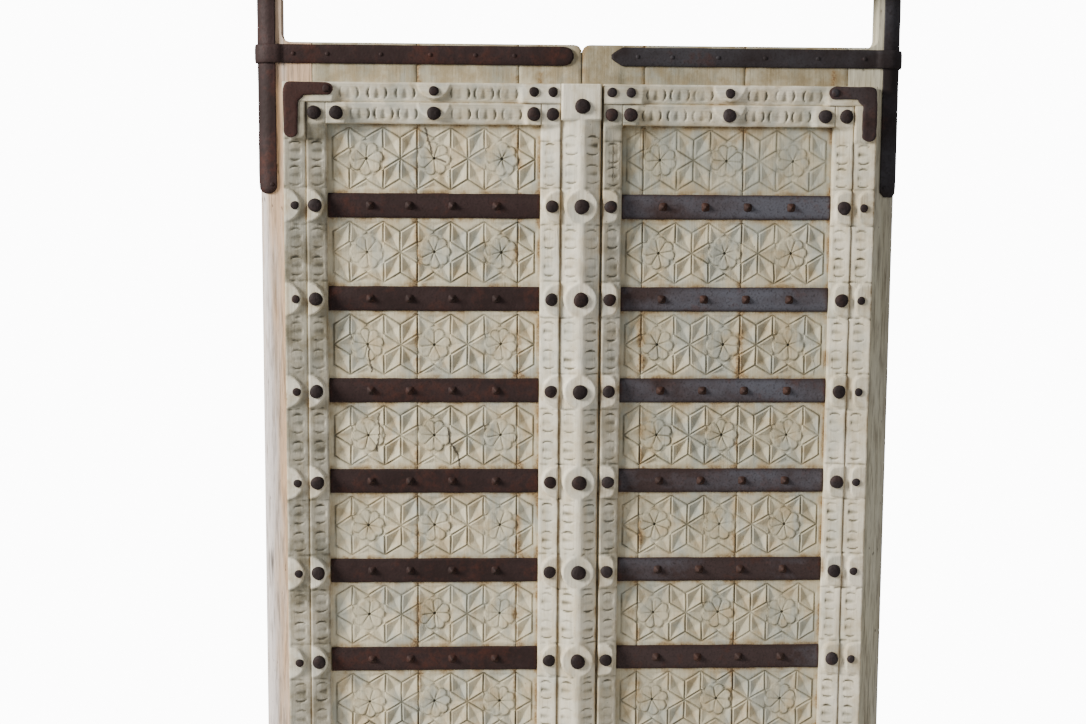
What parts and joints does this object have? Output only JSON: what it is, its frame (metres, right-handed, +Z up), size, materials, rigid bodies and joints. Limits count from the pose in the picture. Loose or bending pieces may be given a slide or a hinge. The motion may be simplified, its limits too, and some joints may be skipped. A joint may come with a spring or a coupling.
{
  "type": "carved double door",
  "caption": "Pair of old plank door leaves carved with star panels, bound with iron bands, bosses and strap hinges, turning on pivots between a threshold and a head beam.",
  "frame": {"origin": "on the floor under the middle of the threshold, on the plane of the pivots", "axes": "+X to the right along the wall seen from the carved front, +Y from the carved front to the back, +Z up"},
  "size_m": [1.424, 0.13, 2.162],
  "materials": {
    "whitewashed_wood": "worn cream whitewash over carved wood",
    "bare_wood": "dry bare wood with traces of whitewash",
    "frame_wood": "plain weathered wood",
    "forged_iron": "dark hammered iron with rust",
    "flat_iron": "dark brown flat iron with rust"
  },
  "bodies": {
    "frame": {"head_beam": "frame_wood", "threshold": "frame_wood"},
    "left_leaf": {"left_astragal": "whitewashed_wood", "left_band_1": "flat_iron", "left_band_2": "flat_iron", "left_band_3": "flat_iron", "left_band_4": "flat_iron", "left_band_5": "flat_iron", "left_band_6": "flat_iron", "left_band_7": "flat_iron", "left_band_8": "flat_iron", "left_band_studs": "forged_iron", "left_board_inner": "whitewashed_wood", "left_board_middle": "whitewashed_wood", "left_board_outer": "whitewashed_wood", "left_bosses": "forged_iron", "left_bottom_inner_rail": "whitewashed_wood", "left_bottom_outer_rail": "whitewashed_wood", "left_bottom_strap": "flat_iron", "left_corner_plate": "flat_iron", "left_inner_strip": "whitewashed_wood", "left_ledges": "bare_wood", "left_meeting_strip": "whitewashed_wood", "left_nails": "flat_iron", "left_outer_strip": "whitewashed_wood", "left_pivot_sheath": "flat_iron", "left_stile": "bare_wood", "left_top_hinge_strap": "flat_iron", "left_top_inner_rail": "whitewashed_wood", "left_top_outer_rail": "whitewashed_wood"},
    "right_leaf": {"right_band_1": "flat_iron", "right_band_2": "flat_iron", "right_band_3": "flat_iron", "right_band_4": "flat_iron", "right_band_5": "flat_iron", "right_band_6": "flat_iron", "right_band_7": "flat_iron", "right_band_8": "flat_iron", "right_band_studs": "forged_iron", "right_board_inner": "whitewashed_wood", "right_board_middle": "whitewashed_wood", "right_board_outer": "whitewashed_wood", "right_bosses": "forged_iron", "right_bottom_inner_rail": "whitewashed_wood", "right_bottom_outer_rail": "whitewashed_wood", "right_bottom_strap": "flat_iron", "right_corner_plate": "flat_iron", "right_inner_strip": "whitewashed_wood", "right_ledges": "bare_wood", "right_meeting_strip": "whitewashed_wood", "right_nails": "flat_iron", "right_outer_strip": "whitewashed_wood", "right_pivot_sheath": "flat_iron", "right_stile": "bare_wood", "right_top_hinge_strap": "flat_iron", "right_top_inner_rail": "whitewashed_wood", "right_top_outer_rail": "whitewashed_wood"}
  },
  "joints": [
    {"name": "right_leaf_swing", "type": "hinge", "parent": "frame", "child": "right_leaf", "pos_m": [0.588, 0, 0], "axis": [0, 0, -1], "range_deg": [0, 105]},
    {"name": "left_leaf_swing", "type": "hinge", "parent": "frame", "child": "left_leaf", "pos_m": [-0.588, 0, 0], "axis": [0, 0, 1], "range_deg": [0, 90]}
  ],
  "couplings": [
    {"joint": "left_leaf_swing", "follows": "right_leaf_swing", "ratio": 0.857}
  ]
}
